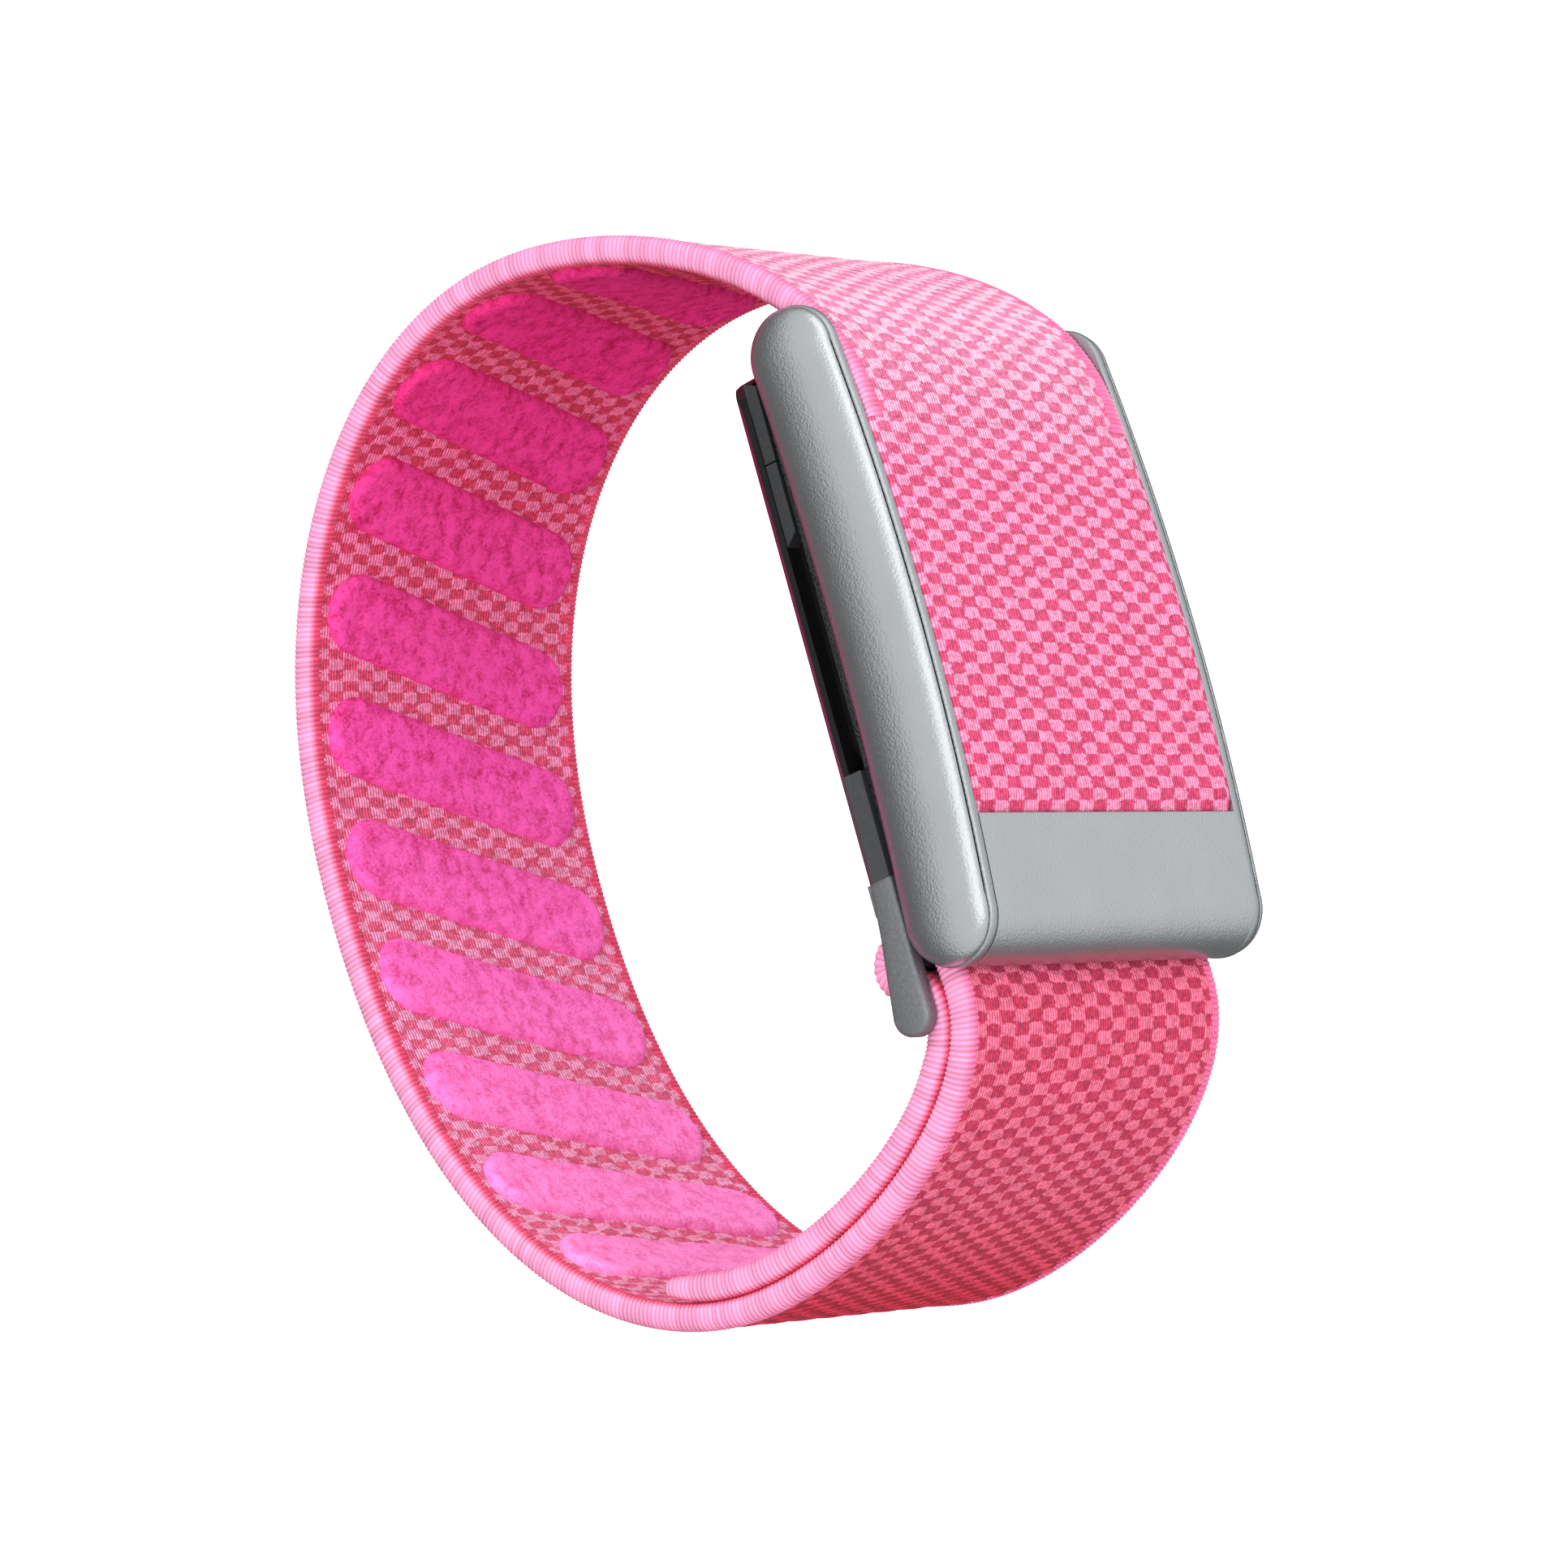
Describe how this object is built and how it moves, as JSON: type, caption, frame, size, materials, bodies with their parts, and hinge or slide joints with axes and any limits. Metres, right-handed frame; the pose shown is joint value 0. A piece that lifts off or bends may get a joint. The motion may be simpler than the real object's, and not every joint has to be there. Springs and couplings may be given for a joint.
{
  "type": "fitness tracker band",
  "caption": "Screenless wrist fitness tracker on a knit strap, with a hinged metal clasp over the sensor pod and a buckle that the strap folds back through",
  "frame": {"origin": "On the wrist's axis, at the widest level of the strap loop, under the middle of the clasp", "axes": "+Y along the wrist; +Z out of the wrist through the pod and the clasp; +X from the hinge to the buckle"},
  "size_m": [0.0633, 0.0282, 0.0488],
  "materials": {
    "pod_black": "glossy black moulded plastic",
    "seal": "soft seal",
    "cap_grey": "matte dark grey plastic",
    "window": "dark tinted clear resin",
    "inner_plastic": "black moulded plastic",
    "board": "green circuit board",
    "bright_metal": "plain steel",
    "foil": "cell pouch foil",
    "copper": "gilt copper",
    "dark_metal": "dark grey coated metal",
    "buckle_metal": "finely textured grey coating",
    "clasp_metal": "bead-blasted, grey anodised",
    "knit": "two-tone pink checker knit",
    "pad_pile": "magenta brushed pile"
  },
  "bodies": {
    "pod_and_strap": {"lower_case": "pod_black", "upper_case": "pod_black", "case_gasket": "seal", "end_cap": "cap_grey", "sensor_window": "window", "light_baffle": "inner_plastic", "inner_frame": "inner_plastic", "sensor_board": "board", "sensor_leds": "window", "photodiodes": "inner_plastic", "main_board": "board", "main_chips": "inner_plastic", "shield_can": "bright_metal", "battery_cell": "foil", "battery_flex": "copper", "haptic_motor": "bright_metal", "antenna": "copper", "charge_contacts": "copper", "skin_temp_sensor": "bright_metal", "hinge_carrier": "dark_metal", "snap_tongues": "dark_metal", "buckle_frame": "buckle_metal", "buckle_screws": "bright_metal", "strap_bar": "buckle_metal", "strap_loop": "knit", "grip_pads": "pad_pile", "hook_patch": "pad_pile"},
    "clasp": {"frame_left": "clasp_metal", "frame_right": "clasp_metal", "cover_left": "clasp_metal", "cover_right": "clasp_metal", "front_plate": "clasp_metal", "hinge_pins": "bright_metal", "frame_screws": "bright_metal", "strap_front": "knit", "strap_end_tab": "dark_metal", "tab_rivets": "bright_metal"}
  },
  "joints": [
    {"name": "clasp_hinge", "type": "hinge", "parent": "pod_and_strap", "child": "clasp", "pos_m": [-0.01635, 0, 0.02182], "axis": [0, -1, 0], "range_deg": [0, 80]}
  ]
}
